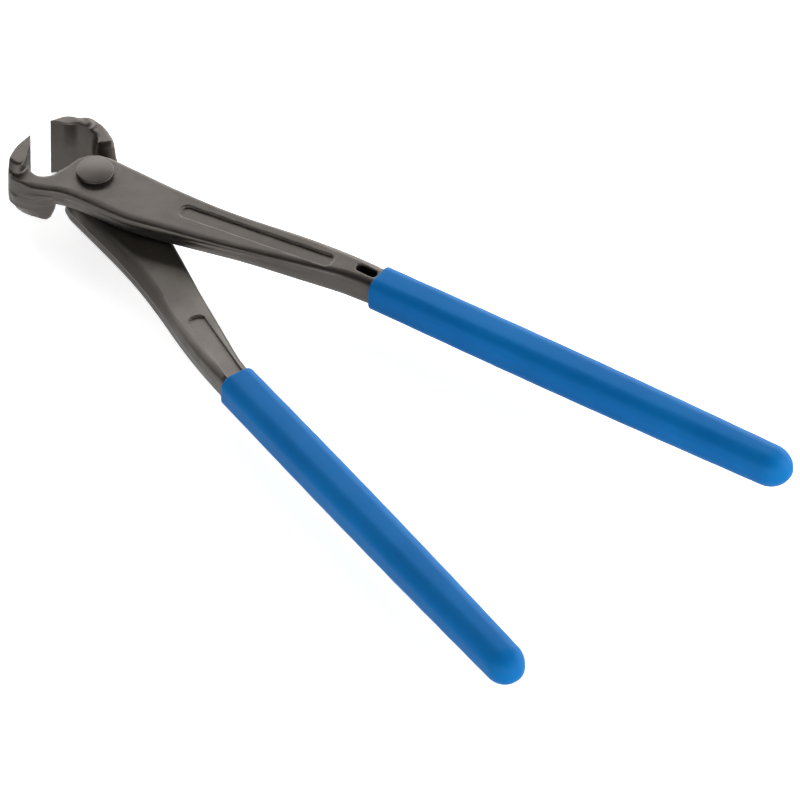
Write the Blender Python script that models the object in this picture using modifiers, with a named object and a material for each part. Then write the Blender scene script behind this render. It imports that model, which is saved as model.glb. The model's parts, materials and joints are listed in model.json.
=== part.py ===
"""Rebar tying pliers (concreters' end-cutting nippers): two like drop-forged halves that cross at a
rivet, each with a dipped grip. Jaws point along +Y, the rivet's axis is Z, and the origin is the
middle of the lower rivet head's flat face. One half is modelled closed, with its lap face on z = 0,
its jaw at -X and its handle at +X. The other half is the same forging turned over about Y.
"""

import math

import bmesh
import bpy
from mathutils import Matrix, Vector

MM = 0.001

# Fits, in millimetres and degrees as all sizes below
FIT_GAP = 0.3  # between pieces that touch, and between the closed cutting edges
REST_OPENING = 20.3  # angle between the halves at rest

# Joint plate
PLATE_THICKNESS = 8.0  # one half, lap face to outer face
HUB_RADIUS = 9.6  # round boss on the mouth side of the rivet
HUB_BACK = 11.2  # rivet axis to the other edge of the plate
RIVET_SHANK = 8.0
RIVET_HEAD = 12.2
RIVET_HEAD_HEIGHT = 1.7
RIVET_HEAD_ROUND = 1.0

# Jaw
JAW_REACH = 25.0  # rivet axis to the cutting edge
JAW_WIDTH = 23.2  # length of the cutting edge
JAW_BACK = 17.3  # tool axis to the back of the hook
MOUTH_FLOOR = 11.6  # rivet axis to the floor of the mouth
MOUTH_HALF = 10.5  # tool axis to the deepest wall of the mouth
SHOULDER_DEPTH = 7.2  # shoulder beside the lap, below the lap plane
JAW_UNDERCUT = 3.0  # how much shallower the jaw is at its nose than at its edge, below the lap
BACK_BEVEL = 3.4  # how far the back slopes in below the lap plane
UNDER_BOW = 0.55  # share of the nose's roundness that its lower side keeps
BEVEL_START = 3.0  # lap plane down to the start of that slope
EDGE_LAND = 0.3  # flat left on the cutting edge
JAW_ROUND = 0.4

# Handle bar
HANDLE_REACH = 255.0  # rivet axis to the end of a grip
HANDLE_WIDTH = 10.3
HANDLE_HEIGHT = 10.0
HANDLE_DROP = 3.8  # how far the bar reaches past the lap plane
BAR_START = 100.0  # rivet axis to where the handle is a straight bar
BAR_SPREAD_START = 13.6  # tool axis to the middle of the bar, at its start
BAR_SPREAD_END = 17.0  # and at its end
BAR_CORNER = 2.9
BAR_CORNER_END = 4.2
OUTER_TAPER_START = 20.0  # where the plate's outer edge starts to leave the hub
INNER_TAPER_START = 12.0  # and its inner edge
OUTER_TAPER_EASE = 0.45  # share of the taper that each rounded end takes
INNER_TAPER_EASE = 0.15
TOP_SLOPE_START = 30.0  # where the outer face starts to slope down to the bar
RAMP_START = 58.0  # where the inner face leaves the lap plane
RAMP_END = 95.0
EDGE_ROUND = 1.3

# Draft of the forging, from a parting line halfway up each section
DRAFT = 0.5
UNDER_DRAFT = 0.6

# Sunk panels and the slot, all along the handle
OUTER_PANEL_START = 31.5
OUTER_PANEL_END = 84.5
OUTER_PANEL_MARGIN = 5.4  # edge of the handle to the panel, at the panel's start
OUTER_PANEL_MARGIN_END = 4.5
INNER_PANEL_START = 65.0
INNER_PANEL_END = 98.5
INNER_PANEL_MARGIN = 4.2
INNER_PANEL_MARGIN_END = 3.1
PANEL_WIDTH = 5.4
PANEL_CORNER = 2.0
PANEL_DEPTH = 0.8
SLOT_CENTRE = 95.3
SLOT_LENGTH = 7.6
SLOT_WIDTH = 3.1
SLOT_DEPTH = 4.0

# Dipped grips
GRIP_COAT = 1.3
GRIP_SWELL = 0.35  # how much thicker a grip is at its middle, on each side
GRIP_DOME = 8.0  # length of the rounded end
FRONT_GRIP_START = 100.0
REAR_GRIP_START = 97.4
GRIP_LIP = 0.35

# Facets
TAPER_STEPS = 19
BAR_STEPS = 5
CORNER_STEPS = 4
FACE_POINTS = 5  # points across the outer and inner faces of a forged section
DOME_STEPS = 7
GRIP_CORNER_STEPS = 6
ROUND_STEPS = 48

# Colours from the photograph, in linear light
STEEL_COLOUR = (0.135, 0.122, 0.106, 1.0)
RIVET_COLOUR = (0.140, 0.128, 0.112, 1.0)
GRIP_COLOUR = (0.032, 0.172, 0.462, 1.0)

LAP_FACE = FIT_GAP / 2
HANDLE_TOP = HANDLE_HEIGHT - HANDLE_DROP
BAR_MIDDLE = HANDLE_TOP - HANDLE_HEIGHT / 2
LAP_PLANE = RIVET_HEAD_HEIGHT + FIT_GAP + PLATE_THICKNESS


def mix(a, b, share):
    return a + (b - a) * share


def share_of(value, start, end):
    return min(1.0, max(0.0, (value - start) / (end - start)))


def ease(share, rounded):
    """A straight slope from 0 to 1 with a rounded start and end."""
    bend = 2 * rounded * (1 - rounded)
    if share < rounded:
        return share * share / bend
    if share > 1 - rounded:
        return 1 - (1 - share) ** 2 / bend
    return (share - rounded / 2) / (1 - rounded)


def collection(name):
    made = bpy.data.collections.new(name)
    bpy.context.scene.collection.children.link(made)
    return made


def material(name, colour, roughness, metallic):
    made = bpy.data.materials.new(name)
    made.use_nodes = True
    shader = made.node_tree.nodes["Principled BSDF"]
    shader.inputs["Base Color"].default_value = colour
    shader.inputs["Roughness"].default_value = roughness
    shader.inputs["Metallic"].default_value = metallic
    return made


def new_object(name, bm, where, finish=None):
    """An object from a bmesh drawn in millimetres."""
    bmesh.ops.scale(bm, vec=(MM, MM, MM), verts=bm.verts)
    bmesh.ops.recalc_face_normals(bm, faces=bm.faces)
    mesh = bpy.data.meshes.new(name)
    bm.to_mesh(mesh)
    bm.free()
    made = bpy.data.objects.new(name, mesh)
    where.objects.link(made)
    if finish:
        mesh.materials.append(finish)
    return made


def smooth(mesh, angle=35):
    mesh.shade_smooth()
    mesh.set_sharp_from_angle(angle=math.radians(angle))


def as_guide(obj):
    obj.hide_render = True
    obj.display_type = "WIRE"
    return obj


def close_ring(bm, row):
    middle = bm.verts.new(sum((vert.co for vert in row), Vector()) / len(row))
    for a, b in zip(row, row[1:] + row[:1]):
        bm.faces.new((a, b, middle))


def loft(rings, close_start=True):
    """Quads between closed rings with the same number of points, with flat ends."""
    bm = bmesh.new()
    rows = [[bm.verts.new(point) for point in ring] for ring in rings]
    for low, high in zip(rows, rows[1:]):
        for i in range(len(low)):
            j = (i + 1) % len(low)
            bm.faces.new((low[i], low[j], high[j], high[i]))
    if close_start:
        close_ring(bm, rows[0])
    close_ring(bm, rows[-1])
    return bm


class Station:
    """One forged section: a ruling from the mouth side to the back, and its heights."""

    def __init__(
        self, mouth, back, top, bottom, bow=(0, 0), edge=EDGE_ROUND, draft=DRAFT, bevel=0.0, facets=1
    ):
        self.mouth = Vector(mouth)
        self.back = Vector(back)
        self.bow = Vector(bow)
        self.top = top
        self.bottom = bottom
        self.edge = edge
        self.draft = draft
        self.bevel = bevel
        self.facets = facets


def blend(stations, low, share):
    """A section between two stations. Its ends follow smooth curves through all stations."""

    def curve(points):
        a, b = points[low], points[low + 1]
        length = (b - a).length

        def slope(i):
            if i == 0 or i == len(points) - 1:
                return (b - a) / length
            before, after = points[i] - points[i - 1], points[i + 1] - points[i]
            weight = before.length + after.length
            return (before / before.length * after.length + after / after.length * before.length) / weight

        t2, t3 = share**2, share**3
        place = a * (2 * t3 - 3 * t2 + 1) + b * (3 * t2 - 2 * t3)
        return place + (slope(low) * (t3 - 2 * t2 + share) + slope(low + 1) * (t3 - t2)) * length

    a, b = stations[low], stations[low + 1]
    return Station(
        curve([s.mouth for s in stations]),
        curve([s.back for s in stations]),
        mix(a.top, b.top, share),
        mix(a.bottom, b.bottom, share),
        mix(a.bow, b.bow, share),
        mix(a.edge, b.edge, share),
        mix(a.draft, b.draft, share),
        mix(a.bevel, b.bevel, share),
    )


def refine(stations):
    made = []
    for i, station in enumerate(stations[:-1]):
        made.append(station)
        made += [blend(stations, i, k / station.facets) for k in range(1, station.facets)]
    return made + [stations[-1]]


def corner(edge, inset, height, up):
    """(inset, height) points of a rounded edge, from the wall to the face."""
    turns = [math.pi / 2 * k / CORNER_STEPS for k in range(CORNER_STEPS + 1)]
    return [(inset + edge * (1 - math.cos(t)), height - up * edge * (1 - math.sin(t))) for t in turns]


class Ruling:
    """A bowed line across a section, from the mouth side to the back."""

    def __init__(self, mouth, back, bow):
        self.mouth = mouth
        self.back = back
        self.middle = (mouth + back) / 2 + bow

    def place(self, share):
        keep = 1 - share
        return self.mouth * keep * keep + self.middle * 2 * share * keep + self.back * share * share

    def mouth_share(self, inset):
        return inset / (2 * (self.middle - self.mouth).length)

    def back_share(self, inset):
        return 1 - inset / (2 * (self.middle - self.back).length)

    def from_mouth(self, inset):
        return self.place(self.mouth_share(inset))

    def from_back(self, inset):
        return self.place(self.back_share(inset))

    def across(self, inset, height):
        """Points between two equal insets, for the face at one height."""
        shares = [(k + 1) / (FACE_POINTS + 1) for k in range(FACE_POINTS)]
        start, stop = self.mouth_share(inset), self.back_share(inset)
        return [(self.place(mix(start, stop, share)), height) for share in shares]


def section(station):
    """The ring of a forged section: mouth wall, inner face, back wall, outer face."""
    top, bottom = station.top, station.bottom
    inward = station.mouth - station.back
    under = UNDER_DRAFT * station.draft / DRAFT
    most = station.draft + station.edge + station.bevel + under
    fit = min(1.0, 0.45 * inward.length / most)
    edge = min(station.edge, 0.45 * (top - bottom)) * fit
    draft, bevel, under = station.draft * fit, station.bevel * fit, under * fit
    parting = (top + bottom) / 2
    slope_start = max(-BEVEL_START, bottom * 0.4) if bevel else mix(bottom, parting, 0.6)
    upper = Ruling(station.mouth, station.back, station.bow)
    lower_bow = station.bow * (UNDER_BOW if bevel else 1)
    lower = Ruling(station.mouth, station.back + inward.normalized() * bevel, lower_bow)

    ring = [(upper.from_mouth(i), z) for i, z in reversed(corner(edge, draft, top, 1))]
    ring += [(upper.from_mouth(0), parting)]
    ring += [(lower.from_mouth(i), z) for i, z in corner(edge, under, bottom, -1)]
    ring += lower.across(under + edge, bottom)
    ring += [(lower.from_back(i), z) for i, z in reversed(corner(edge, under, bottom, -1))]
    ring += [(upper.from_back(under * 0.4), slope_start), (upper.from_back(0), parting)]
    ring += [(upper.from_back(i), z) for i, z in corner(edge, draft, top, 1)]
    ring += reversed(upper.across(draft + edge, top))
    return [(place.x, place.y, z) for place, z in ring]


def bar_spread(distance):
    """Tool axis to the middle of the straight bar, extended forward to the hub."""
    return mix(BAR_SPREAD_START, BAR_SPREAD_END, (distance - BAR_START) / (HANDLE_REACH - BAR_START))


def bar_swell(distance):
    return GRIP_SWELL * math.sin(math.pi * share_of(distance, BAR_START, HANDLE_REACH))


def bar_corner(distance):
    return mix(BAR_CORNER, BAR_CORNER_END, share_of(distance, BAR_START, HANDLE_REACH))


def outer_edge(distance):
    bar = bar_spread(distance) + HANDLE_WIDTH / 2
    return mix(HUB_RADIUS, bar, ease(share_of(distance, OUTER_TAPER_START, BAR_START), OUTER_TAPER_EASE))


def inner_edge(distance):
    bar = bar_spread(distance) - HANDLE_WIDTH / 2
    return mix(-HUB_BACK, bar, ease(share_of(distance, INNER_TAPER_START, BAR_START), INNER_TAPER_EASE))


def outer_face(distance):
    return mix(PLATE_THICKNESS, HANDLE_TOP, share_of(distance, TOP_SLOPE_START, BAR_START))


def inner_face(distance):
    return mix(LAP_FACE, -HANDLE_DROP, share_of(distance, RAMP_START, RAMP_END))


def dome(distance, reach, length):
    """How much of its full section a rounded end still has."""
    share = max(0.0, (distance - reach + length) / length)
    return math.sqrt(max(0.0, 1 - share**2))


def bar_station(distance, share):
    """A section of the bar inside the grip, less where its end is rounded."""
    half = (HANDLE_WIDTH / 2 + bar_swell(distance)) * share
    rise = (HANDLE_HEIGHT / 2 + bar_swell(distance)) * share
    middle = bar_spread(distance)
    ends = ((middle + half, -distance), (middle - half, -distance))
    edge = bar_corner(distance) * share
    return Station(*ends, BAR_MIDDLE + rise, BAR_MIDDLE - rise, edge=edge, draft=0)


def handle_stations():
    """From the rounded end of the bar to the hub."""
    reach = HANDLE_REACH - GRIP_COAT - FIT_GAP
    length = GRIP_DOME - GRIP_COAT
    made = []
    for k in range(DOME_STEPS):
        distance = reach - length * (1 - math.cos(math.pi / 2 * (k + 0.7) / DOME_STEPS))
        made.append(bar_station(distance, dome(distance, reach, length)))
    for k in range(BAR_STEPS):
        made.append(bar_station(mix(reach - length, BAR_START, k / BAR_STEPS), 1))
    for k in range(TAPER_STEPS + 1):
        distance = mix(BAR_START, HUB_RADIUS, k / TAPER_STEPS)
        ahead = 1 - share_of(distance, RAMP_START, BAR_START)
        ends = ((outer_edge(distance), -distance), (inner_edge(distance), -distance))
        edge = mix(BAR_CORNER, EDGE_ROUND, ahead)
        faces = outer_face(distance), inner_face(distance)
        made.append(Station(*ends, *faces, edge=edge, draft=DRAFT * ahead))
    return made


def hub_stations():
    """Round the boss from the handle's outer edge to the floor of the mouth."""
    made = []
    for degrees, back in ((0, -0.98), (24, -0.88), (46, -0.78), (68, -0.68)):
        turn = math.radians(degrees)
        mouth = (HUB_RADIUS * math.cos(turn), HUB_RADIUS * math.sin(turn))
        made.append(Station(mouth, hook_back(0.75 + 0.08 * back, back), PLATE_THICKNESS, LAP_FACE))
    return made


def hook_mouth(across, along):
    return (-MOUTH_HALF * across, mix(MOUTH_FLOOR, JAW_REACH, along))


def hook_back(across, along):
    return (-JAW_BACK * across, mix(MOUTH_FLOOR, JAW_REACH, along))


def hook_stations():
    """Round the hook to the cutting edge. Places are shares of the mouth and of the jaw's back."""
    plate, jaw = PLATE_THICKNESS, JAW_WIDTH / 2
    lap, shoulder, nose = LAP_FACE, -SHOULDER_DEPTH, JAW_UNDERCUT - jaw
    small, none, bevel = JAW_ROUND, DRAFT * 0.2, BACK_BEVEL
    cliff, saddle = mix(plate, jaw, 0.14), mix(shoulder, nose, 0.7)
    low, steep = mix(nose, -jaw, 0.25), bevel * 1.25

    def hook(mouth, back, top, bottom, **shape):
        return Station(hook_mouth(*mouth), hook_back(*back), top, bottom, **shape)

    def jaw_side(mouth, back, top, bottom, **shape):
        return hook(mouth, back, top, bottom, edge=small, draft=none, **shape)

    tip_mouth = (-FIT_GAP / 2, JAW_REACH - EDGE_LAND / 2)
    tip_back = (-FIT_GAP / 2, JAW_REACH + EDGE_LAND / 2)
    made = [
        hook((0.15, -0.13), (0.715, -0.59), plate, lap),
        hook((0.40, -0.055), (0.735, -0.50), plate, lap, bow=(0.6, -0.6)),
        hook((0.58, -0.02), (0.755, -0.42), plate, lap, bow=(1.4, -1.4)),
        hook((0.70, 0.005), (0.778, -0.33), plate, lap, bow=(2.2, -2.2)),
        hook((0.73, 0.018), (0.795, -0.30), plate, shoulder * 0.45, bow=(2.0, -2.0)),
        hook((0.775, 0.04), (0.82, -0.235), plate, shoulder * 0.83, bow=(1.7, -1.7)),
        hook((0.83, 0.085), (0.845, -0.155), plate, shoulder, bow=(1.2, -1.2), facets=2),
        hook((0.895, 0.15), (0.88, -0.05), plate, shoulder, bow=(0.4, -0.4), facets=2),
        hook((0.97, 0.28), (0.955, 0.20), plate, shoulder, bevel=bevel * 0.25, facets=2),
        hook((0.99, 0.35), (0.992, 0.40), plate, shoulder, bow=(-0.3, -0.6), bevel=bevel * 0.75, facets=2),
        hook((0.985, 0.40), (1.0, 0.57), plate, shoulder, bow=(-1.2, -2.0), bevel=steep),
        hook((0.965, 0.46), (0.967, 0.74), plate, shoulder, bow=(-2.0, -3.4), bevel=steep, facets=2),
        hook((0.90, 0.53), (0.875, 0.87), plate, saddle, bow=(-3.0, -4.2), bevel=bevel, edge=0.8),
        jaw_side((0.83, 0.63), (0.83, 0.91), cliff, nose, bow=(-4.2, -4.8), bevel=bevel * 0.9),
        jaw_side((0.765, 0.685), (0.745, 0.955), jaw * 0.96, nose, bow=(-5.0, -5.6), bevel=bevel * 0.8),
        jaw_side((0.725, 0.71), (0.70, 0.98), jaw, nose, bow=(-5.0, -5.8), bevel=bevel * 0.8, facets=2),
        jaw_side((0.55, 0.755), (0.545, 1.035), jaw, low, bow=(-1.2, -0.9), bevel=bevel * 0.35, facets=2),
        jaw_side((0.36, 0.80), (0.385, 1.06), jaw, mix(nose, -jaw, 0.5), bevel=bevel * 0.15, facets=2),
        jaw_side((0.20, 0.89), (0.19, 1.045), jaw, mix(nose, -jaw, 0.75), bevel=bevel * 0.05, facets=2),
        Station(tip_mouth, tip_back, jaw, -jaw, edge=small, draft=none),
    ]
    return made


def prism(name, length, width, corner_radius, height, where):
    """A bar with rounded corners, from z = 0 up, its length along X."""
    radius = min(corner_radius, width / 2 * 0.999)
    bm = bmesh.new()
    outline = []
    for i, (side, end) in enumerate(((1, 1), (-1, 1), (-1, -1), (1, -1))):
        for k in range(GRIP_CORNER_STEPS + 1):
            turn = math.pi / 2 * (i + k / GRIP_CORNER_STEPS)
            x = side * (length / 2 - radius) + radius * math.cos(turn)
            y = end * (width / 2 - radius) + radius * math.sin(turn)
            outline.append(bm.verts.new((x, y, 0)))
    base = bm.faces.new(outline)
    raised = bmesh.ops.extrude_face_region(bm, geom=[base])["geom"]
    lifted = [item for item in raised if isinstance(item, bmesh.types.BMVert)]
    bmesh.ops.translate(bm, vec=(0, 0, height), verts=lifted)
    return as_guide(new_object(name, bm, where))


def lay_on_handle(obj, places, depth, up):
    """Sinks a cutter into a face of the handle, along a line between two places on that face."""
    start, end = (Vector(place) - Vector((0, 0, up * depth)) for place in places)
    run = (end - start).normalized()
    across = Vector((0, 0, up)).cross(run).normalized()
    turned = Matrix((run, across, run.cross(across))).transposed().to_4x4()
    turned.translation = (start + end) / 2 * MM
    obj.matrix_world = turned


def handle_cutters(where):
    reach = PLATE_THICKNESS
    half = PANEL_WIDTH / 2
    ends = ((OUTER_PANEL_START, OUTER_PANEL_MARGIN), (OUTER_PANEL_END, OUTER_PANEL_MARGIN_END))
    outer = prism("outer_panel", OUTER_PANEL_END - OUTER_PANEL_START, PANEL_WIDTH, PANEL_CORNER, reach, where)
    lay_on_handle(outer, [(outer_edge(d) - m - half, -d, outer_face(d)) for d, m in ends], PANEL_DEPTH, 1)
    ends = ((INNER_PANEL_START, INNER_PANEL_MARGIN), (INNER_PANEL_END, INNER_PANEL_MARGIN_END))
    inner = prism("inner_panel", INNER_PANEL_END - INNER_PANEL_START, PANEL_WIDTH, PANEL_CORNER, reach, where)
    lay_on_handle(inner, [(inner_edge(d) + m + half, -d, inner_face(d)) for d, m in ends], PANEL_DEPTH, -1)
    slot = prism("handle_slot", SLOT_LENGTH, SLOT_WIDTH, SLOT_WIDTH, reach + SLOT_DEPTH, where)
    ends = (SLOT_CENTRE - SLOT_LENGTH / 2, SLOT_CENTRE + SLOT_LENGTH / 2)
    lay_on_handle(slot, [(bar_spread(d), -d, outer_face(d)) for d in ends], SLOT_DEPTH, 1)
    return [outer, inner, slot]


def rivet_hole(where):
    bm = bmesh.new()
    radius = RIVET_SHANK / 2 + FIT_GAP
    deep = PLATE_THICKNESS * 3
    bmesh.ops.create_cone(
        bm, cap_ends=True, segments=ROUND_STEPS, radius1=radius, radius2=radius, depth=deep
    )
    return as_guide(new_object("rivet_hole", bm, where))


def forged_half(where):
    """The mesh of one half: the loft with its hole, panels and slot cut."""
    stations = refine(handle_stations() + hub_stations() + hook_stations())
    guide = as_guide(new_object("forged_half", loft([section(s) for s in stations]), where))
    for cutter in [rivet_hole(where)] + handle_cutters(where):
        cut = guide.modifiers.new(cutter.name, "BOOLEAN")
        cut.operation = "DIFFERENCE"
        cut.object = cutter
    graph = bpy.context.evaluated_depsgraph_get()
    mesh = bpy.data.meshes.new_from_object(guide.evaluated_get(graph))
    mesh.name = "forged_half_cut"
    smooth(mesh)
    return mesh


def grip_ring(distance, share):
    coat = GRIP_COAT + bar_swell(distance)
    half = (HANDLE_WIDTH / 2 + coat) * share
    rise = (HANDLE_HEIGHT / 2 + coat) * share
    radius = (bar_corner(distance) + GRIP_COAT) * share
    ring = []
    for i, (side, end) in enumerate(((1, 1), (-1, 1), (-1, -1), (1, -1))):
        for k in range(GRIP_CORNER_STEPS + 1):
            turn = math.pi / 2 * (i + k / GRIP_CORNER_STEPS)
            x = bar_spread(distance) + side * (half - radius) + radius * math.cos(turn)
            z = BAR_MIDDLE + end * (rise - radius) + radius * math.sin(turn)
            ring.append((x, -distance, z))
    return ring


def grip(name, start, finish, where):
    """A dipped sleeve with an open mouth and a rounded, closed end."""
    places = [mix(start, HANDLE_REACH - GRIP_DOME, k / BAR_STEPS) for k in range(BAR_STEPS)]
    for k in range(DOME_STEPS):
        turn = math.pi / 2 * k / DOME_STEPS
        places.append(HANDLE_REACH - GRIP_DOME * (1 - math.sin(turn)))
    rings = [grip_ring(d, dome(d, HANDLE_REACH, GRIP_DOME)) for d in places]
    made = new_object(name, loft(rings, close_start=False), where, finish)
    shell = made.modifiers.new("coat", "SOLIDIFY")
    shell.thickness = (GRIP_COAT - FIT_GAP) * MM
    shell.offset = -1
    shell.use_even_offset = True
    lip = made.modifiers.new("lip", "BEVEL")
    lip.width = GRIP_LIP * MM
    lip.segments = 2
    lip.limit_method = "ANGLE"
    lip.angle_limit = math.radians(60)
    smooth(made.data)
    return made


def rivet(finish, where):
    """Turned about Z, with its middle on the lap plane and a head on each side."""
    shank, head = RIVET_SHANK / 2, RIVET_HEAD / 2
    under = PLATE_THICKNESS + FIT_GAP
    top = under + RIVET_HEAD_HEIGHT
    edge = [math.pi / 2 * k / CORNER_STEPS for k in range(CORNER_STEPS + 1)]
    half = [(0, top)]
    for turn in edge:
        x = head - RIVET_HEAD_ROUND * (1 - math.sin(turn))
        half.append((x, top - RIVET_HEAD_ROUND * (1 - math.cos(turn))))
    half += [(head, under), (shank, under)]
    profile = half + [(x, -z) for x, z in reversed(half)]
    bm = bmesh.new()
    points = [bm.verts.new((x, 0, z)) for x, z in profile]
    for a, b in zip(points, points[1:]):
        bm.edges.new((a, b))
    made = new_object("pivot_rivet", bm, where, finish)
    turn = made.modifiers.new("turn", "SCREW")
    turn.steps = ROUND_STEPS
    turn.render_steps = ROUND_STEPS
    turn.use_merge_vertices = True
    turn.merge_threshold = 0.00001
    turn.use_smooth_shade = False
    return made


def turned_half(name, degrees, turned_over, where):
    """An empty on the rivet's axis that carries one half at its rest angle."""
    made = bpy.data.objects.new(name, None)
    made.empty_display_size = HUB_RADIUS * MM
    where.objects.link(made)
    over = Matrix.Rotation(math.pi if turned_over else 0.0, 4, "Y")
    lift = Matrix.Translation((0, 0, LAP_PLANE * MM))
    made.matrix_world = lift @ Matrix.Rotation(math.radians(degrees), 4, "Z") @ over
    return made


def build():
    for obj in list(bpy.data.objects):
        bpy.data.objects.remove(obj, do_unlink=True)
    pliers = collection("rebar_tying_pliers")
    cutters = collection("cutters")
    steel = material("black_oxide_steel", STEEL_COLOUR, 0.42, 0.8)
    rivet_steel = material("rivet_steel", RIVET_COLOUR, 0.36, 0.8)
    dip = material("blue_dip", GRIP_COLOUR, 0.45, 0.0)

    half_mesh = forged_half(cutters)
    half_mesh.materials.append(steel)
    halves = (
        ("front", REST_OPENING / 2, False, FRONT_GRIP_START),
        ("rear", -REST_OPENING / 2, True, REAR_GRIP_START),
    )
    for side, degrees, turned_over, grip_start in halves:
        carrier = turned_half(side + "_half", degrees, turned_over, pliers)
        lever = bpy.data.objects.new(side + "_lever", half_mesh)
        pliers.objects.link(lever)
        lever.parent = carrier
        sleeve = grip(side + "_grip", grip_start, dip, pliers)
        sleeve.parent = carrier
    pin = rivet(rivet_steel, pliers)
    pin.location.z = LAP_PLANE * MM


build()
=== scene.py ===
"""Looks of the rebar tying pliers: forged levers in satin black oxide, a turned rivet and blue dipped
grips, on a pale floor under an even soft light with a dark card above.

Work on a half is done closed and flat, in millimetres, as in the part's source: the pivot is at the
origin, the lap plane on z = 0, the jaw reaches towards +Y and the handle towards -Y.
"""

import json
import math

import bmesh
import bpy
import numpy as np
from mathutils import Matrix, Vector

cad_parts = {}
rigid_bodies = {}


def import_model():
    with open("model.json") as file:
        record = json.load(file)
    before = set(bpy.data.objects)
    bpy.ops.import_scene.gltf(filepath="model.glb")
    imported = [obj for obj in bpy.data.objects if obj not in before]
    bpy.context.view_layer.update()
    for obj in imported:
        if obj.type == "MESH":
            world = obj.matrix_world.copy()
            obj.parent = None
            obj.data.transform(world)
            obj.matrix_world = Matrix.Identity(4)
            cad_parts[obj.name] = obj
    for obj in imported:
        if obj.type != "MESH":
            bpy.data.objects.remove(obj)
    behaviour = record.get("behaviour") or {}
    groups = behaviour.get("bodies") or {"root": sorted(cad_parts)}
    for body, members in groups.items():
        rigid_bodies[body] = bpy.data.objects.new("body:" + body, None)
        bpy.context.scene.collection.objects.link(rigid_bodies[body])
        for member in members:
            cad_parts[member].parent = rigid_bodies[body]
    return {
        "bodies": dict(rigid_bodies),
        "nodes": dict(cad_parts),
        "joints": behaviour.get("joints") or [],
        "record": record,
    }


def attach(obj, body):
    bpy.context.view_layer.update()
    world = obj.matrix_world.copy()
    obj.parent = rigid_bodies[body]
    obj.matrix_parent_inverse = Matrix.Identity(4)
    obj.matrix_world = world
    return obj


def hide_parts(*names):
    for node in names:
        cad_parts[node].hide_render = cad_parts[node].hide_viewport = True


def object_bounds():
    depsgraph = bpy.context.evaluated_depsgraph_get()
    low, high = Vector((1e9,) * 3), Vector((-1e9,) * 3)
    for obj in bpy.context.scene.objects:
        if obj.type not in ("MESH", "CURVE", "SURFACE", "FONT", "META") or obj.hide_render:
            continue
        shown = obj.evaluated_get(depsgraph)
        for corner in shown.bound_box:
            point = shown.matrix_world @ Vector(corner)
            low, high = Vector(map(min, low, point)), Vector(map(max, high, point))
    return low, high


MM = 0.001

# The frame's own sizes, in millimetres and degrees
REST_OPENING = 20.3
PLATE_THICKNESS = 8.0
MOUTH_MIDDLE = (0.0, 16.0)
JAW_REACH = 25.0
FIT_GAP = 0.3
HANDLE_REACH = 255.0
BAR_START = 100.0
BAR_SPREAD_START = 13.6
BAR_SPREAD_END = 17.0
BAR_MIDDLE = 1.2
GRIP_WIDTH = 12.9
GRIP_HEIGHT = 12.6
GRIP_SWELL = 0.35
GRIP_CORNER = 4.2
GRIP_CORNER_END = 5.5
GRIP_DOME = 8.0
GRIP_STARTS = {"front": 100.0, "rear": 97.4}
RIVET_SHANK = 8.0
RIVET_HEAD = 12.2
RIVET_HEAD_HEIGHT = 1.7

# Forged surface
VOXEL = 0.25
SMOOTH_TURNS = 10
SMOOTH_STEPS = (0.5, -0.51)  # in and out again, so that nothing shrinks
EVEN_TURNS = 3  # for the shifts of vertices
SADDLE = (-10.0, 17.0, -10.0)  # where the jaw's lower side dips to its neck
SADDLE_REACH = 10.0
SADDLE_TURNS = 100
LAP_EDGE_ALONG = (-97.0, -75.0, -35.0, -14.0, 4.0)
LAP_EDGE_RADIUS = (1.2, 1.7, 4.0, 4.5, 0.2)  # of the inner face's outer edge at each place
HANDLE_ALONG = (-95.0, -85.0, -75.0, -65.0, -58.0, -50.0, -40.0, -30.0, -20.0, -10.0)
HANDLE_OUT = (18.57, 17.79, 16.5, 14.74, 13.34, 11.89, 10.59, 9.84, 9.6, 9.6)  # its outer wall
HANDLE_IN = (8.09, 5.95, 3.2, 0.51, -1.33, -3.41, -5.95, -8.44, -10.62, -11.2)  # its inner wall
EDGE_KEEP = 3.0  # length behind the cutting edge that stays crisp
EDGE_HOLD = 0.95
AWAY_EASE = 3.0  # over which a wall counts as looking away from the mouth
HANDLE_EASE = 10.0
PARTING_ALONG = (-100.0, -95.0, -58.0, -30.0, 6.0, 9.7, 12.5, 25.0)  # places along the half
PARTING_HEIGHT = (1.2, 1.26, 3.7, 4.08, 4.08, 3.5, 2.2, 2.2)  # halfway up the section at each place
LEDGE = 0.75  # how far the lower half stands out at the parting line
LEDGE_RISE = 0.5
LEDGE_FADE = 4.0
LEDGE_END = 62.0
LEDGE_TAPER = 20.0
LEDGE_INNER = 0.3  # share of it on the handle's inner wall
LEDGE_UPRIGHT = 1.6  # how fast it fades as a wall turns level
LEDGE_CLEAR = 2.0  # length of the jaw's tip without it
LEDGE_TIP = 4.0
INNER_WALL_TOP = 4.0  # where the handle's inner wall turns into the mouth
RIM_OUT = {"front": (1.2, 0.0), "rear": (1.2, 0.9)}  # at the outer face's rim, inner and outer wall
RIM_FADE = (-90.0, -50.0, 13.0, 17.0)
RIM_START = 3.5  # height where the walls begin to lean out
RIM_RISE = 3.0
RIM_LEVEL = 0.12  # faces up to this slope stay
RIM_SLOPE = 0.4
WALL_DEPTH = 5.0  # how far from the handle's walls that reaches
LEVER_SHARE = 0.22  # of the remeshed faces that the lever keeps
LEVER_NORMALS = 80

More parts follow.
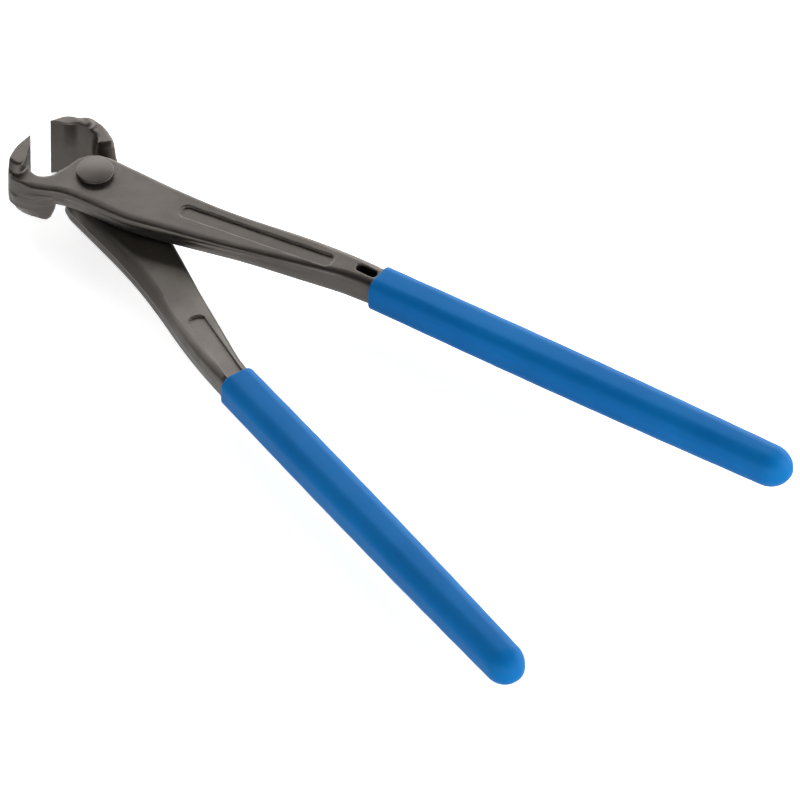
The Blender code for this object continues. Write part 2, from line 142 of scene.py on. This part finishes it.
# Sunk panels: each end's place on the handle's face, and which way that face looks
PANELS = (
    ((1.82, -31.5, 7.96), (10.54, -84.5, 6.60), 1),
    ((7.41, -65.0, -0.60), (14.19, -98.5, -3.80), -1),
)
PANEL_HALF = 2.7
PANEL_MARGIN = 1.0
PANEL_MIDDLE = 0.4  # halfway down a panel's wall
PANEL_LEVEL = 0.9
PANEL_SPAN = 0.55  # of its length, either way from its middle
PANEL_HOLD = 0.8

# The handle's inner face
RAMP_START = 58.0
RAMP_END = 95.0
RAMP_SLOPE = 0.107
LAP_FACE = 0.15
RAMP_EASE = 6.0
RAMP_LEVEL = 0.9
RAMP_NEAR = 0.3
RAMP_DEPTH = 1.5  # height over which the bend fades into the walls

# Dipped grips
GRIP_RING_STEP = 2.5
GRIP_ARC_STEPS = 14
GRIP_WALL = 0.95
GRIP_INSIDE = (6.0, 3.0, 1.0)  # depths of the rings inside the lip
GRIP_WAVE = 0.05
GRIP_WAVE_RATE = 0.21
LIP_ROUND = 0.45
LIP_STEPS = 6
LIP_BEHIND = 1.5
DOME_STEPS = 16
DOME_CLOSED = 16.4  # a little more than the steps, so that the last ring keeps a size

# Rivet's heads
RIVET_CROWN = 0.3
RIVET_EDGE = 0.45
RIVET_UNDER = 0.25
RIVET_EDGE_STEPS = 8
RIVET_STEPS = 96
RIVET_SHARP = 40.0

# Colours
STEEL_DARK = (0.90, 0.81, 0.73)  # shares of a steel's lightness
STEEL_LIGHT = (1.12, 1.01, 0.91)
BLUE_LOW = (0.003, 0.168, 0.505)
BLUE_HIGH = (0.004, 0.188, 0.545)
PAPER = (0.93, 0.93, 0.93)

# The photograph's frame
IMAGE_SIZE = 800
PIXELS_PER_METRE = 3142.0
PIVOT_PIXEL = (95.3, 191.4)
CAMERA_AZIMUTH = -45.55
CAMERA_ELEVATION = 44.44
CAMERA_DISTANCE = 11.0
SENSOR = 36.0

# Light
FLOOR_HALF = 6.0
FLOOR_LIFT = 0.72  # added to the floor where the camera sees it
SKY_LEVEL = 3.25
FLAG_RADIUS = 1.2
FLAG_LEFT = 2.0
FLAG_RIGHT = 1.5
FLAG_FROM = 18.0  # angle up from the floor on the camera's side
FLAG_TO = 134.0
FLAG_STEPS = 24
FLAG_TONE = (0.05, 0.05, 0.05)


def mix(a, b, share):
    return a + (b - a) * share


def half_frame(side, lap_height):
    """Closed, flat half to its place at rest. The rear half is turned over."""
    sign = 1 if side == "front" else -1
    over = Matrix.Rotation(0.0 if side == "front" else math.pi, 4, "Y")
    turn = Matrix.Rotation(math.radians(sign * REST_OPENING / 2), 4, "Z")
    return Matrix.Translation((0, 0, lap_height)) @ turn @ over @ Matrix.Scale(MM, 4)


def link(name, mesh):
    made = bpy.data.objects.new(name, mesh)
    bpy.context.scene.collection.objects.link(made)
    return made


def baked(obj):
    """The object's mesh with its modifiers applied. The object goes."""
    graph = bpy.context.evaluated_depsgraph_get()
    mesh = bpy.data.meshes.new_from_object(obj.evaluated_get(graph))
    bpy.data.objects.remove(obj, do_unlink=True)
    return mesh


def places_of(mesh):
    flat = np.empty(len(mesh.vertices) * 3)
    mesh.vertices.foreach_get("co", flat)
    return flat.reshape(-1, 3)


def normals_of(mesh):
    flat = np.empty(len(mesh.vertices) * 3)
    mesh.vertex_normals.foreach_get("vector", flat)
    return flat.reshape(-1, 3)


def set_places(mesh, places):
    mesh.vertices.foreach_set("co", places.astype(np.float32).ravel())
    mesh.update()


class Neighbours:
    """A mesh's edges, for means over each vertex's neighbours."""

    def __init__(self, mesh):
        pairs = np.empty(len(mesh.edges) * 2, dtype=np.int64)
        mesh.edges.foreach_get("vertices", pairs)
        self.low, self.high = pairs.reshape(-1, 2).T
        self.size = len(mesh.vertices)
        self.count = np.bincount(pairs, minlength=self.size)

    def mean(self, values):
        total = np.bincount(self.low, values[self.high], self.size)
        return (total + np.bincount(self.high, values[self.low], self.size)) / self.count


def soften(mesh, turns, keep):
    """Smooths a mesh without shrinking it. keep is 0 where a vertex moves freely and 1 where it stays."""
    around, places = Neighbours(mesh), places_of(mesh)
    for turn in range(turns * 2):
        step = SMOOTH_STEPS[turn % 2]
        mean = np.stack([around.mean(places[:, axis]) for axis in range(3)], axis=1)
        places += (mean - places) * (step * (1 - keep))[:, None]
    set_places(mesh, places)


def push(mesh, shifts):
    """Moves the vertices by shifts that are evened out over the mesh first."""
    around = Neighbours(mesh)
    for _ in range(EVEN_TURNS):
        shifts = np.stack([around.mean(shifts[:, axis]) for axis in range(3)], axis=1)
    set_places(mesh, places_of(mesh) + shifts)


def smooth(value):
    """0 below 0, 1 above 1 and an S between."""
    value = np.clip(value, 0, 1)
    return value * value * (3 - 2 * value)


def outward(places, facing):
    """1 on walls that look away from the mouth, and on all walls along the handle."""
    from_mouth = places[:, :2] - np.array(MOUTH_MIDDLE)
    away = smooth((facing[:, :2] * from_mouth).sum(axis=1) / AWAY_EASE)
    return np.maximum(away, smooth(-places[:, 1] / HANDLE_EASE))


def raise_parting(mesh):
    """The parting line of the forging: below it the outer walls stand out in a small soft ledge."""
    places, normals = places_of(mesh), normals_of(mesh)
    below = np.interp(places[:, 1], PARTING_ALONG, PARTING_HEIGHT) - places[:, 2]
    profile = smooth(below / LEDGE_RISE + 0.5) * np.clip(1 - below / LEDGE_FADE, 0, 1)
    wall = np.clip(1 - np.abs(normals[:, 2]) * LEDGE_UPRIGHT, 0, 1)
    tip = np.clip((JAW_REACH - LEDGE_CLEAR - places[:, 1]) / LEDGE_TIP, 0, 1)
    inner_wall = (normals[:, 0] < 0) & (places[:, 1] < INNER_WALL_TOP)
    share = smooth((places[:, 1] + LEDGE_END) / LEDGE_TAPER) * np.where(inner_wall, LEDGE_INNER, 1)
    out = LEDGE * profile * wall * (outward(places, normals) * tip) * share
    push(mesh, normals * out[:, None] * (1, 1, 0))


def spread_rim(mesh, inner, outer):
    """The walls lean out to the rim of the outer face, by inner on the mouth's side of the handle."""
    places, normals = places_of(mesh), normals_of(mesh)
    level = normals * (1, 1, 0)
    size = np.linalg.norm(level, axis=1)
    level /= np.maximum(size, 0.001)[:, None]
    along = np.interp(places[:, 1], RIM_FADE, (0, 1, 1, 0))
    share = smooth((size - RIM_LEVEL) / RIM_SLOPE)
    share = share * smooth((places[:, 2] - RIM_START) / RIM_RISE) * along
    share *= outward(places, level)
    facing_in = level[:, 0] < 0
    from_inner = places[:, 0] - np.interp(places[:, 1], HANDLE_ALONG, HANDLE_IN)
    from_outer = np.interp(places[:, 1], HANDLE_ALONG, HANDLE_OUT) - places[:, 0]
    share *= smooth(WALL_DEPTH - np.where(facing_in, from_inner, from_outer))
    reach = np.where(facing_in, inner, outer) * smooth(np.abs(level[:, 0]) * 2)
    push(mesh, level * (share * reach)[:, None])


def inner_face(along):
    """Height of the handle's inner face: on the lap plane, then down to the bar."""
    past = np.clip(-RAMP_START - along, 0, RAMP_END - RAMP_START)
    return LAP_FACE - RAMP_SLOPE * past


def ease_ramp(mesh):
    """The inner face leaves the lap plane in a long soft bend."""
    places, normals = places_of(mesh), normals_of(mesh)
    sharp = inner_face(places[:, 1])
    near = np.clip(RAMP_EASE - np.abs(places[:, 1] + RAMP_START), 0, None)
    bend = RAMP_SLOPE * near**2 / (4 * RAMP_EASE)
    on_face = (normals[:, 2] < -RAMP_LEVEL) & (np.abs(places[:, 2] - sharp) < RAMP_NEAR) & (near > 0)
    eased = places[:, 2] - bend * np.clip(RAMP_DEPTH - places[:, 2], 0, 1)
    places[:, 2] = np.where(on_face, sharp - bend, eased)
    set_places(mesh, places)


def panel_keep(places):
    """1 at the sunk panels, whose edges stay crisp."""
    keep = np.zeros(len(places))
    for start, end, up in PANELS:
        first, run = np.array(start), np.array(end) - np.array(start)
        along = (places[:, 1] - first[1]) / run[1]
        middle = first + run * along[:, None]
        level = np.abs(places[:, 2] - middle[:, 2] + PANEL_MIDDLE * up) < PANEL_LEVEL
        beside = np.abs(places[:, 0] - middle[:, 0]) < PANEL_HALF + PANEL_MARGIN
        keep[level & beside & (np.abs(along - 0.5) < PANEL_SPAN)] = 1
    return keep


def round_lap_edge(mesh):
    """Bends the square corner between the inner face and the outer wall to an arc."""
    places = places_of(mesh)
    along = places[:, 1]
    radius = np.interp(along, LAP_EDGE_ALONG, LAP_EDGE_RADIUS, left=0.01, right=0.01)
    wall, face = np.interp(along, HANDLE_ALONG, HANDLE_OUT), inner_face(along)
    out = np.clip(1 - (wall - places[:, 0]) / radius, 0, 1)
    down = np.clip(1 - (places[:, 2] - face) / radius, 0, 1)
    corner = (out > 0) & (down > 0)
    new_x = wall - (1 - out * np.sqrt(1 - down**2 / 2)) * radius
    new_z = face + (1 - down * np.sqrt(1 - out**2 / 2)) * radius
    places[:, 0] = np.where(corner, new_x, places[:, 0])
    places[:, 2] = np.where(corner, new_z, places[:, 2])
    set_places(mesh, places)


def edge_keep(places):
    """Near 1 at the cutting edge, which stays crisp."""
    return np.clip(1 - (JAW_REACH - places[:, 1]) / EDGE_KEEP, 0, EDGE_HOLD)


def soften_saddle(mesh):
    """Smooths further where the jaw's lower side dips to its neck."""
    places = places_of(mesh)
    far = smooth(np.linalg.norm(places - np.array(SADDLE), axis=1) / SADDLE_REACH * 2 - 1)
    soften(mesh, SADDLE_TURNS, np.maximum(edge_keep(places), far))


def forged_mesh(node, frame):
    """A half's visible mesh: the CAD solid with forged, rounded edges and its parting line."""
    rough = node.data.copy()
    rough.transform(frame.inverted())
    work = link("forging", rough)
    remesh = work.modifiers.new("voxels", "REMESH")
    remesh.mode = "VOXEL"
    remesh.voxel_size = VOXEL
    mesh = baked(work)
    places = places_of(mesh)
    soften(mesh, SMOOTH_TURNS, np.maximum(edge_keep(places), panel_keep(places) * PANEL_HOLD))
    soften_saddle(mesh)
    round_lap_edge(mesh)
    ease_ramp(mesh)
    raise_parting(mesh)
    return mesh


def fewer_faces(mesh):
    """The mesh with long faces where it is flat. The finer one goes."""
    work = link("forging", mesh)
    fewer = work.modifiers.new("fewer", "DECIMATE")
    fewer.ratio = LEVER_SHARE
    return baked(work)


def lever(side, mesh, frame, steel):
    mesh = mesh.copy()
    spread_rim(mesh, *RIM_OUT[side])
    mesh = fewer_faces(mesh)
    mesh.name = side + "_lever_forged"
    mesh.transform(frame)
    mesh.materials.clear()
    mesh.materials.append(steel)
    mesh.shade_smooth()
    made = link(side + "_lever_forged", mesh)
    even = made.modifiers.new("even", "WEIGHTED_NORMAL")
    even.weight = LEVER_NORMALS
    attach(made, side)
    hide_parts(side + "_lever")


def bar_spread(distance):
    return mix(BAR_SPREAD_START, BAR_SPREAD_END, (distance - BAR_START) / (HANDLE_REACH - BAR_START))


def grip_ring(distance, inset, share):
    """A rounded rectangle across the grip, set in from its outside."""
    along = min(1.0, max(0.0, (distance - BAR_START) / (HANDLE_REACH - BAR_START)))
    swell = GRIP_SWELL * math.sin(math.pi * along)
    half = GRIP_WIDTH / 2 + swell - inset
    rise = GRIP_HEIGHT / 2 + swell - inset
    radius = mix(GRIP_CORNER, GRIP_CORNER_END, along) - inset
    ring = []
    for i, (side, end) in enumerate(((1, 1), (-1, 1), (-1, -1), (1, -1))):
        for k in range(GRIP_ARC_STEPS + 1):
            turn = math.pi / 2 * (i + k / GRIP_ARC_STEPS)
            x = side * (half - radius) + radius * math.cos(turn)
            z = end * (rise - radius) + radius * math.sin(turn)
            ring.append((bar_spread(distance) + x * share, -distance, BAR_MIDDLE + z * share))
    return ring


def dome(distance, reach, length):
    share = max(0.0, (distance - reach + length) / length)
    return math.sqrt(max(0.0, 1 - share**2))


def grip_mesh(start):
    """A dipped sleeve: inner wall out to the rounded lip, along the outside and over the end."""
    rings = []
    for depth in GRIP_INSIDE:
        rings.append(grip_ring(start + depth, GRIP_WALL, 1))
    for k in range(LIP_STEPS + 1):
        turn = math.pi * (1 - k / LIP_STEPS)
        inset = GRIP_WALL / 2 * (1 - math.cos(turn))
        rings.append(grip_ring(start + LIP_ROUND * (1 - math.sin(turn)), inset, 1))
    distance = start + LIP_BEHIND
    while distance < HANDLE_REACH - GRIP_DOME - 1:
        rings.append(grip_ring(distance, GRIP_WAVE * math.sin(distance * GRIP_WAVE_RATE) ** 2, 1))
        distance += GRIP_RING_STEP
    for k in range(DOME_STEPS + 1):
        distance = HANDLE_REACH - GRIP_DOME * (1 - math.sin(math.pi / 2 * k / DOME_CLOSED))
        rings.append(grip_ring(distance, 0, dome(distance, HANDLE_REACH, GRIP_DOME)))
    bm = bmesh.new()
    rows = [[bm.verts.new(point) for point in ring] for ring in rings]
    for low, high in zip(rows, rows[1:]):
        for i in range(len(low)):
            j = (i + 1) % len(low)
            bm.faces.new((low[i], low[j], high[j], high[i]))
    bm.faces.new(rows[0])
    bm.faces.new(rows[-1])
    bmesh.ops.recalc_face_normals(bm, faces=bm.faces)
    mesh = bpy.data.meshes.new("grip")
    bm.to_mesh(mesh)
    bm.free()
    return mesh


def grip(side, frame, dip):
    mesh = grip_mesh(GRIP_STARTS[side])
    mesh.name = side + "_grip_dipped"
    mesh.transform(frame)
    mesh.materials.append(dip)
    mesh.shade_smooth()
    made = link(side + "_grip_dipped", mesh)
    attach(made, side)
    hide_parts(side + "_grip")


def rivet(lap_height, steel):
    """Turned about the pivot's axis: shank, seats and two crowned heads with rounded edges."""
    shank, head = RIVET_SHANK / 2, RIVET_HEAD / 2
    under = PLATE_THICKNESS + FIT_GAP * 0.15
    top = PLATE_THICKNESS + FIT_GAP + RIVET_HEAD_HEIGHT
    half = [(0.0, top)]
    half += [(head * out, top - RIVET_CROWN * drop) for out, drop in ((0.35, 0.15), (0.6, 0.45))]
    for k in range(RIVET_EDGE_STEPS + 1):
        turn = math.pi / 2 * k / RIVET_EDGE_STEPS
        out = head - RIVET_EDGE * (1 - math.sin(turn))
        half.append((out, top - RIVET_CROWN - RIVET_EDGE * (1 - math.cos(turn))))
    half += [(head, under + RIVET_UNDER), (head - 0.2, under), (shank, under)]
    profile = half + [(x, -z) for x, z in reversed(half)]
    bm = bmesh.new()
    points = [bm.verts.new((x * MM, 0, z * MM)) for x, z in profile]
    for a, b in zip(points, points[1:]):
        bm.edges.new((a, b))
    mesh = bpy.data.meshes.new("rivet_profile")
    bm.to_mesh(mesh)
    bm.free()
    work = link("rivet_profile", mesh)
    turn = work.modifiers.new("turn", "SCREW")
    turn.steps = turn.render_steps = RIVET_STEPS
    turn.use_merge_vertices = True
    turn.merge_threshold = 0.00001
    mesh = baked(work)
    mesh.name = "pivot_rivet_turned"
    mesh.materials.append(steel)
    mesh.shade_smooth()
    mesh.set_sharp_from_angle(angle=math.radians(RIVET_SHARP))
    made = link("pivot_rivet_turned", mesh)
    made.location.z = lap_height
    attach(made, "rear")
    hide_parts("pivot_rivet")


class Shader:
    """A material's node tree, with short calls to add nodes and links."""

    def __init__(self, name):
        self.material = bpy.data.materials.new(name)
        self.material.use_nodes = True
        self.nodes = self.material.node_tree.nodes
        self.surface = self.nodes["Principled BSDF"]

    def join(self, out, into):
        self.material.node_tree.links.new(out, into)

    def noise(self, scale, detail, roughness=0.5):
        made = self.nodes.new("ShaderNodeTexNoise")
        made.inputs["Scale"].default_value = scale
        made.inputs["Detail"].default_value = detail
        made.inputs["Roughness"].default_value = roughness
        self.join(self.coordinates(), made.inputs["Vector"])
        return made.outputs["Fac"]

    def coordinates(self):
        found = self.nodes.get("place")
        if not found:
            found = self.nodes.new("ShaderNodeTexCoord")
            found.name = "place"
        return found.outputs["Object"]

    def ramp(self, value, *stops):
        made = self.nodes.new("ShaderNodeValToRGB")
        elements = made.color_ramp.elements
        while len(elements) < len(stops):
            elements.new(0.5)
        for element, (place, colour) in zip(elements, stops):
            element.position = place
            element.color = (*colour, 1)
        self.join(value, made.inputs["Fac"])
        return made.outputs["Color"]

    def between(self, value, low, high):
        """low to high over the middle of a noise's range."""
        made = self.nodes.new("ShaderNodeMapRange")
        made.inputs["To Min"].default_value = low
        made.inputs["To Max"].default_value = high
        made.inputs["From Min"].default_value = 0.3
        made.inputs["From Max"].default_value = 0.7
        self.join(value, made.inputs["Value"])
        return made.outputs["Result"]

    def bump(self, height, strength, distance, under=None):
        made = self.nodes.new("ShaderNodeBump")
        made.inputs["Strength"].default_value = strength
        made.inputs["Distance"].default_value = distance
        self.join(height, made.inputs["Height"])
        if under:
            self.join(under, made.inputs["Normal"])
        return made.outputs["Normal"]

    def set(self, **values):
        for name, value in values.items():
            self.surface.inputs[name.replace("_", " ")].default_value = value


def oxide_steel(name, lightness, low_roughness, high_roughness, grain):
    """Black oxide on steel: dark, slightly brown, with a fine grain and soft patches of sheen."""
    made = Shader(name)
    patches = made.noise(70, 4, 0.6)
    dark = [lightness * part for part in STEEL_DARK]
    light = [lightness * part for part in STEEL_LIGHT]
    made.join(made.ramp(patches, (0.3, dark), (0.7, light)), made.surface.inputs["Base Color"])
    sheen = made.noise(180, 5, 0.6)
    made.join(made.between(sheen, low_roughness, high_roughness), made.surface.inputs["Roughness"])
    fine = made.noise(4200, 3, 0.6)
    broad = made.noise(260, 3, 0.5)
    normal = made.bump(broad, 0.10, 0.0004)
    made.join(made.bump(fine, grain, 0.00006, normal), made.surface.inputs["Normal"])
    made.set(Metallic=0.85)
    return made.material


def blue_dip():
    """Dipped vinyl: even blue, satin, with a faint orange-peel surface."""
    made = Shader("blue_dip_satin")
    tone = made.noise(40, 3, 0.5)
    made.join(made.ramp(tone, (0.35, BLUE_LOW), (0.65, BLUE_HIGH)), made.surface.inputs["Base Color"])
    made.join(made.between(made.noise(300, 4, 0.6), 0.40, 0.48), made.surface.inputs["Roughness"])
    peel = made.noise(900, 2, 0.4)
    wave = made.bump(made.noise(90, 2, 0.4), 0.12, 0.0005)
    made.join(made.bump(peel, 0.12, 0.00008, wave), made.surface.inputs["Normal"])
    made.set(Specular_IOR_Level=0.1)
    return made.material


def floor(height):
    """A pale floor that reads as white and keeps the object's shadow."""
    bm = bmesh.new()
    bmesh.ops.create_grid(bm, x_segments=1, y_segments=1, size=FLOOR_HALF)
    mesh = bpy.data.meshes.new("floor")
    bm.to_mesh(mesh)
    bm.free()
    made = link("floor", mesh)
    made.location.z = height
    paper = Shader("white_paper")
    paper.set(Base_Color=(*PAPER, 1), Roughness=0.9)
    seen = paper.nodes.new("ShaderNodeLightPath")
    lift = paper.nodes.new("ShaderNodeEmission")
    paper.join(paper.between(seen.outputs["Is Camera Ray"], 0, FLOOR_LIFT), lift.inputs["Strength"])
    both = paper.nodes.new("ShaderNodeAddShader")
    paper.join(paper.surface.outputs[0], both.inputs[0])
    paper.join(lift.outputs[0], both.inputs[1])
    white = paper.nodes.new("ShaderNodeEmission")
    mirrored = paper.nodes.new("ShaderNodeMixShader")
    paper.join(seen.outputs["Is Glossy Ray"], mirrored.inputs[0])
    paper.join(both.outputs[0], mirrored.inputs[1])
    paper.join(white.outputs[0], mirrored.inputs[2])
    paper.join(mirrored.outputs[0], paper.nodes["Material Output"].inputs["Surface"])
    mesh.materials.append(paper.material)


def flag(middle, back):
    """A dark card bent over the object and closed on the left, out of sight, which the metal shows."""
    toward = Vector((back.x, back.y, 0)).normalized()
    left = toward.cross(Vector((0, 0, 1)))
    bm = bmesh.new()
    rows = []
    for k in range(FLAG_STEPS + 1):
        turn = math.radians(mix(FLAG_FROM, FLAG_TO, k / FLAG_STEPS))
        place = middle + (toward * math.cos(turn) + Vector((0, 0, math.sin(turn)))) * FLAG_RADIUS
        rows.append((bm.verts.new(place - left * FLAG_RIGHT), bm.verts.new(place + left * FLAG_LEFT)))
    for low, high in zip(rows, rows[1:]):
        bm.faces.new((low[0], low[1], high[1], high[0]))
    feet = [bm.verts.new((*end[1].co.xy, middle.z)) for end in (rows[-1], rows[0])]
    bm.faces.new([row[1] for row in rows] + feet)
    mesh = bpy.data.meshes.new("flag")
    bm.to_mesh(mesh)
    bm.free()
    card = Shader("dark_card")
    card.set(Base_Color=(*FLAG_TONE, 1), Roughness=1.0)
    mesh.materials.append(card.material)
    made = link("flag", mesh)
    made.visible_camera = False


def world(strength):
    """Even soft light from all round."""
    made = bpy.data.worlds.new("studio")
    made.use_nodes = True
    sky = made.node_tree.nodes["Background"]
    sky.inputs["Color"].default_value = (1, 1, 1, 1)
    sky.inputs["Strength"].default_value = strength
    bpy.context.scene.world = made


def camera(pivot):
    """Looks at the object as the photograph does. Gives the direction back to the camera."""
    turn, rise = math.radians(CAMERA_AZIMUTH), math.radians(CAMERA_ELEVATION)
    back = Vector((math.sin(turn) * math.cos(rise), -math.cos(turn) * math.cos(rise), math.sin(rise)))
    right = Vector((math.cos(turn), math.sin(turn), 0))
    up = back.cross(right)
    middle = IMAGE_SIZE / 2
    target = pivot + right * ((middle - PIVOT_PIXEL[0]) / PIXELS_PER_METRE)
    target += up * ((PIVOT_PIXEL[1] - middle) / PIXELS_PER_METRE)
    data = bpy.data.cameras.new("camera")
    data.sensor_width = SENSOR
    data.lens = SENSOR * CAMERA_DISTANCE * PIXELS_PER_METRE / IMAGE_SIZE
    data.clip_end = CAMERA_DISTANCE * 4
    made = link("camera", data)
    made.location = target + back * CAMERA_DISTANCE
    made.rotation_mode = "QUATERNION"
    made.rotation_quaternion = (-back).to_track_quat("-Z", "Y")
    bpy.context.scene.camera = made
    return back


def build():
    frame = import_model()
    cad_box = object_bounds()
    pivot = Vector(frame["joints"][0]["pos_m"])
    frames = {side: half_frame(side, pivot.z) for side in ("front", "rear")}
    steel = oxide_steel("black_oxide_forged", 0.107, 0.36, 0.46, 0.25)
    turned_steel = oxide_steel("black_oxide_turned", 0.09, 0.28, 0.36, 0.12)
    dip = blue_dip()

    forging = forged_mesh(frame["nodes"]["front_lever"], frames["front"])
    for side, place in frames.items():
        lever(side, forging, place, steel)
        grip(side, place, dip)
    rivet(pivot.z, turned_steel)

    floor(cad_box[0].z)
    world(SKY_LEVEL)
    back = camera(pivot)
    flag(pivot, back)
    bpy.context.scene.view_settings.view_transform = "Standard"


build()
